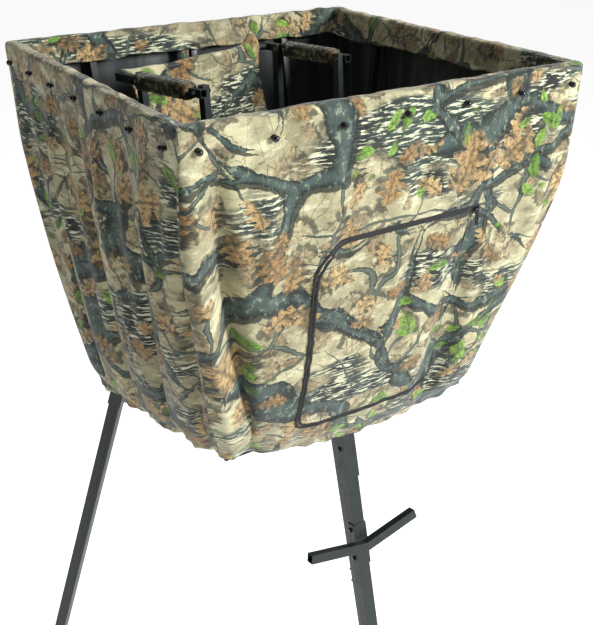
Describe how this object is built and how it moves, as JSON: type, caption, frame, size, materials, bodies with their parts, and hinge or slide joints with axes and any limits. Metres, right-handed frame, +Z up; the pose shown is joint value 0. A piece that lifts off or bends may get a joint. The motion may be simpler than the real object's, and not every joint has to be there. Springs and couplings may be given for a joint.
{
  "type": "tripod hunting stand with cloth blind",
  "caption": "Three-legged hunting stand with V-step ladder leg, railed deck, swivel sling seat and zipped camouflage cloth blind tied over the rail.",
  "frame": {"origin": "middle of the box round the three feet, on the ground", "axes": "+Z up, -Y is the ladder leg's and the zipped door's side, +X is the sitter's left when they face the door"},
  "size_m": [2.27, 2.13, 3.932],
  "materials": {
    "powder_steel": "fine matt powder coat, very dark grey green",
    "zinc_bolt": "blackened zinc hex fasteners",
    "camo_cloth": "woven polyester with a printed branch and leaf pattern, charcoal lining",
    "camo_foam_wrap": "foam pad in printed cloth",
    "zip_coil": "black nylon coil on black tape",
    "zip_metal": "black enamelled die casting",
    "ball_plastic": "black moulded ball",
    "elastic_cord": "black braided elastic",
    "grommet_steel": "blackened eyelet",
    "plug_plastic": "black moulded end plug",
    "bearing_plastic": "black acetal bearing ring"
  },
  "bodies": {
    "stand": {"bungee_balls": "ball_plastic", "bungee_cords": "elastic_cord", "deck_joists": "powder_steel", "deck_slats": "powder_steel", "deck_tube_back": "powder_steel", "deck_tube_front": "powder_steel", "deck_tube_left": "powder_steel", "deck_tube_right": "powder_steel", "foot_ladder": "powder_steel", "foot_left": "powder_steel", "foot_right": "powder_steel", "grommets": "grommet_steel", "leg_bolts": "zinc_bolt", "leg_joint_sleeves": "powder_steel", "leg_ladder_lower": "powder_steel", "leg_ladder_upper": "powder_steel", "leg_left_lower": "powder_steel", "leg_left_upper": "powder_steel", "leg_right_lower": "powder_steel", "leg_right_upper": "powder_steel", "leg_socket_ladder": "powder_steel", "leg_socket_left": "powder_steel", "leg_socket_right": "powder_steel", "rail_back": "powder_steel", "rail_front": "powder_steel", "rail_left": "powder_steel", "rail_posts_back": "powder_steel", "rail_posts_front": "powder_steel", "rail_posts_left": "powder_steel", "rail_posts_right": "powder_steel", "rail_right": "powder_steel", "step_1": "powder_steel", "step_2": "powder_steel", "step_3": "powder_steel", "step_4": "powder_steel", "step_5": "powder_steel", "step_6": "powder_steel", "step_bolts": "zinc_bolt", "swivel_bearing": "bearing_plastic", "swivel_pedestal": "powder_steel", "wall_back": "camo_cloth", "wall_front": "camo_cloth", "wall_left": "camo_cloth", "wall_right": "camo_cloth", "zipper_coil_frame": "zip_coil"},
    "seat": {"swivel_plate": "powder_steel", "seat_side_left": "powder_steel", "seat_side_right": "powder_steel", "arm_tube_left": "powder_steel", "arm_tube_right": "powder_steel", "arm_pad_left": "camo_foam_wrap", "arm_pad_right": "camo_foam_wrap", "seat_cross_bars": "powder_steel", "seat_sling": "camo_cloth", "arm_bolts": "zinc_bolt", "tube_end_plugs": "plug_plastic"},
    "door": {"door_panel": "camo_cloth", "zipper_coil_door": "zip_coil"},
    "zipper_slider": {"zipper_slider": "zip_metal"},
    "zipper_pull": {"zipper_pull": "zip_metal"}
  },
  "joints": [
    {"name": "seat_swivel", "type": "hinge", "parent": "stand", "child": "seat", "pos_m": [0, -0.10508, 3.5255], "axis": [0, 0, 1], "continuous": true},
    {"name": "door_hinge", "type": "hinge", "parent": "stand", "child": "door", "pos_m": [0.215, -0.59824, 3.37], "axis": [0, -0.2823, 0.9593], "range_deg": [0, 110]},
    {"name": "zipper_slide", "type": "slide", "parent": "stand", "child": "zipper_slider", "axis": [-1, 0, 0], "range_m": [0, 0.32]},
    {"name": "pull_tab", "type": "hinge", "parent": "zipper_slider", "child": "zipper_pull", "pos_m": [0.23, -0.68139, 3.62846], "axis": [-1, 0, 0], "range_deg": [-15, 140]}
  ]
}
